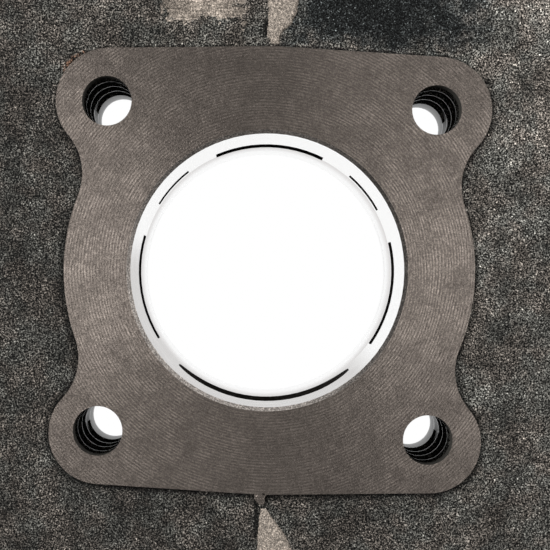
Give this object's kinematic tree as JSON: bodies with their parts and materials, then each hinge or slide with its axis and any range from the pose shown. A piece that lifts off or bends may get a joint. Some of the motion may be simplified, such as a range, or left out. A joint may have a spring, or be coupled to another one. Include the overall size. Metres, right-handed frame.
{
  "type": "engine cylinder",
  "caption": "Air-cooled two-stroke engine cylinder: finned iron casting with machined bore, head gasket pad, stud holes, transfer ducts and a flanged exhaust port.",
  "frame": {"origin": "on the bore axis at the base gasket face", "axes": "+Z along the bore towards the cylinder head, -Y out through the exhaust flange, X across the main transfer ducts"},
  "size_m": [0.112, 0.112, 0.073],
  "materials": {
    "iron": "rough as cast, with turned faces and a honed bore"
  },
  "bodies": {
    "root": {"cylinder": "iron"}
  },
  "joints": []
}
